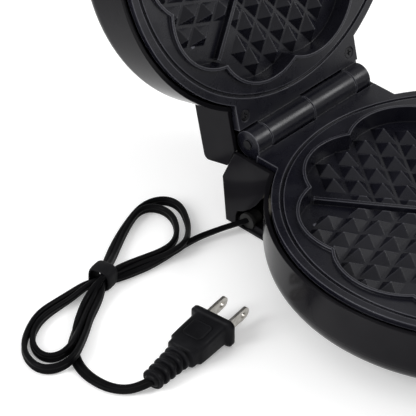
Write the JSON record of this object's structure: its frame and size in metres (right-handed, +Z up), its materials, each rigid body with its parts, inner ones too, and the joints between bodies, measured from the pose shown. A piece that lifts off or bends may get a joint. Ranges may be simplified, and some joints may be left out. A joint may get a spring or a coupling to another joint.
{
  "type": "waffle maker",
  "caption": "Round hinged waffle maker for heart-shaped waffles, standing open, with a dial, latch and a tied mains lead with a flat-blade plug.",
  "frame": {"origin": "centre of the round base, on the surface it stands on", "axes": "+Z up, +Y towards the hinge, handles towards -Y, mains lead leaves on the -X side"},
  "size_m": [0.3, 0.3497, 0.3114],
  "materials": {
    "shell": "glossy black moulding",
    "shell_dark": "satin black moulding",
    "plate": "dark grey non-stick coating on cast aluminium",
    "steel": "zinc plated steel",
    "heater": "dull tube",
    "sheet": "mill finish sheet",
    "rubber": "soft black",
    "ceramic": "heat resisting cream block",
    "wire": "glass sleeved wire",
    "label": "blank brushed plate",
    "flex": "satin black flat twin flex",
    "tie": "black strap",
    "plug": "black moulded plug",
    "blade": "nickel plated brass",
    "lamp": "neon glass",
    "red_lens": "red lens",
    "green_lens": "green lens",
    "dial": "satin black",
    "pin_black": "dark screws and pin"
  },
  "bodies": {
    "base": {"base_shell": "shell", "base_handle": "shell_dark", "base_handle_screws": "steel", "foot_ring": "rubber", "lower_plate": "plate", "lower_plate_screws": "steel", "lower_heater": "heater", "lower_shield": "sheet", "thermal_fuse": "ceramic", "terminal_block": "ceramic", "base_wiring": "wire", "rating_plate": "label", "hinge_pin": "steel", "cord_bush": "rubber", "cord_lead": "flex", "cord_hank": "flex", "cord_tie": "tie", "cord_tail": "flex", "plug_body": "plug", "plug_blades": "blade"},
    "lid": {"lid_shell": "shell", "upper_plate": "plate", "upper_plate_screws": "pin_black", "upper_heater": "heater", "upper_shield": "sheet", "thermostat": "ceramic", "lid_wiring": "wire", "lid_handle": "shell_dark", "lid_handle_screws": "steel", "lamps": "lamp", "power_lens": "red_lens", "ready_lens": "green_lens", "latch_pin": "steel"},
    "dial": {"dial": "dial", "dial_spindle": "steel"},
    "latch": {"latch": "shell_dark"}
  },
  "joints": [
    {"name": "lid_hinge", "type": "hinge", "parent": "base", "child": "lid", "pos_m": [0, 0.109, 0.04935], "axis": [1, 0, 0], "range_deg": [0, 105]},
    {"name": "dial_turn", "type": "hinge", "parent": "lid", "child": "dial", "pos_m": [0, 0.19472, 0.20756], "axis": [0, 0.9659, -0.2588], "range_deg": [-135, 135]},
    {"name": "latch_swing", "type": "hinge", "parent": "lid", "child": "latch", "pos_m": [0, 0.1856, 0.28557], "axis": [1, 0, 0], "range_deg": [0, 25]}
  ]
}
